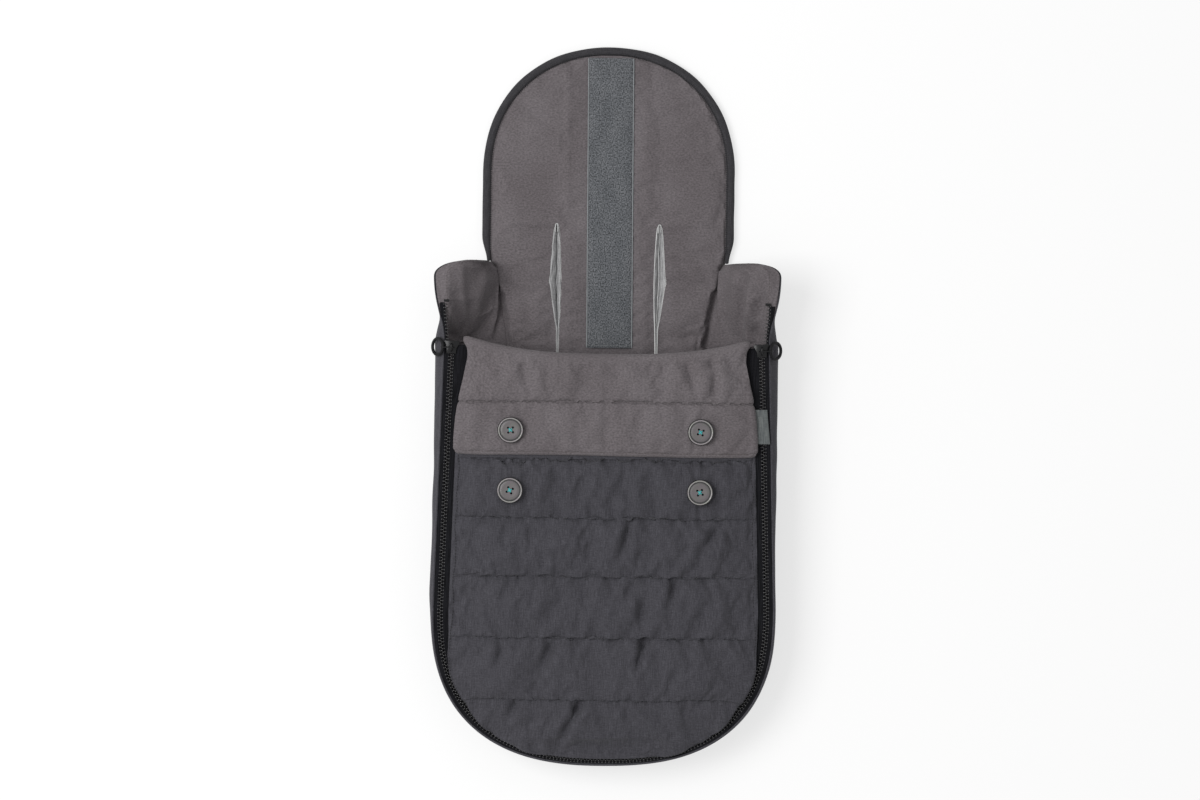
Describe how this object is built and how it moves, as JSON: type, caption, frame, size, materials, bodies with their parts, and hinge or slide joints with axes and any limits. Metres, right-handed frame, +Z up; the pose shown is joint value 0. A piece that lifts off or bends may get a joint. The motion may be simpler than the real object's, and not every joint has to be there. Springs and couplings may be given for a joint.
{
  "type": "pushchair footmuff",
  "caption": "Padded footmuff for a pushchair: fleece-lined bag with a quilted zip-on cover, turned-down cuff, head panel and slots for the harness.",
  "frame": {"origin": "on the ground, midway along and across the bag: the centre of the bottom of its bounding box", "axes": "+Y along the bag to the head end, +Z up out of its open side, +X to the right of someone who looks down on it with the head end up"},
  "size_m": [0.3748, 0.7721, 0.0869],
  "materials": {
    "shell_cloth": "woven charcoal melange polyester",
    "fleece": "napped warm grey fleece",
    "wadding": "white polyester wadding",
    "loop_tape": "grey loop fastener",
    "satin": "silver grey satin",
    "zip_tape": "black herringbone tape",
    "zip_resin": "black moulded resin",
    "zip_metal": "black lacquered zinc",
    "ring_rubber": "black rubber",
    "button_resin": "grey pearl resin",
    "button_thread": "turquoise thread",
    "tag_ribbon": "bare grey satin ribbon"
  },
  "bodies": {
    "bag": {"back_shell": "shell_cloth", "back_wadding": "wadding", "back_lining": "fleece", "head_binding": "shell_cloth", "loop_strip": "loop_tape", "slot_facing_left": "satin", "slot_facing_right": "satin", "slot_bartack_left": "satin", "slot_bartack_right": "satin", "left_wall_shell": "shell_cloth", "left_wall_wadding": "wadding", "left_wall_lining": "fleece", "right_wall_shell": "shell_cloth", "right_wall_wadding": "wadding", "right_wall_lining": "fleece", "foot_wall_shell": "shell_cloth", "foot_wall_wadding": "wadding", "foot_wall_lining": "fleece", "wall_zip_tape": "zip_tape", "wall_zip_teeth": "zip_resin", "top_stop_left": "zip_metal", "top_stop_right": "zip_metal"},
    "cover": {"cover_shell": "shell_cloth", "cover_wadding": "wadding", "cover_lining": "fleece", "cover_zip_tape": "zip_tape", "cover_zip_teeth": "zip_resin", "upper_button_left": "button_resin", "upper_button_right": "button_resin", "upper_button_thread_left": "button_thread", "upper_button_thread_right": "button_thread", "lower_button_left": "button_resin", "lower_button_right": "button_resin", "lower_button_thread_left": "button_thread", "lower_button_thread_right": "button_thread"},
    "cuff": {"cuff_shell": "shell_cloth", "cuff_lining": "fleece", "cuff_band": "fleece", "cuff_fold": "fleece", "side_tag": "tag_ribbon"},
    "slider_left": {"slider_left": "zip_metal", "bail_left": "zip_metal"},
    "slider_right": {"slider_right": "zip_metal", "bail_right": "zip_metal"},
    "ring_left": {"pull_link_left": "zip_metal", "ring_pull_left": "ring_rubber"},
    "ring_right": {"pull_link_right": "zip_metal", "ring_pull_right": "ring_rubber"}
  },
  "joints": [
    {"name": "cover_opens", "type": "hinge", "parent": "bag", "child": "cover", "pos_m": [0, -0.387, 0.053], "axis": [1, 0, 0], "range_deg": [0, 165], "deforming": ["wall_zip_teeth", "cover_zip_teeth", "cover_zip_tape"]},
    {"name": "cuff_unfolds", "type": "hinge", "parent": "cover", "child": "cuff", "pos_m": [0, 0.06, 0.0774], "axis": [-1, 0, 0], "range_deg": [0, 175], "deforming": ["cuff_fold", "cuff_band", "side_tag"]},
    {"name": "left_slider_runs", "type": "slide", "parent": "bag", "child": "slider_left", "axis": [-0.0315, -0.9985, -0.0442], "range_m": [0, 0.27], "deforming": ["wall_zip_teeth", "cover_zip_teeth", "cover_zip_tape"]},
    {"name": "right_slider_runs", "type": "slide", "parent": "bag", "child": "slider_right", "axis": [0.0315, -0.9985, -0.0442], "range_m": [0, 0.27], "deforming": ["wall_zip_teeth", "cover_zip_teeth", "cover_zip_tape"]},
    {"name": "left_ring_swings", "type": "hinge", "parent": "slider_left", "child": "ring_left", "pos_m": [-0.1652, 0.0592, 0.07656], "axis": [0.0315, 0.9985, 0.0442], "range_deg": [0, 180]},
    {"name": "right_ring_swings", "type": "hinge", "parent": "slider_right", "child": "ring_right", "pos_m": [0.1652, 0.0592, 0.07656], "axis": [0.0315, -0.9985, -0.0442], "range_deg": [0, 180]}
  ]
}
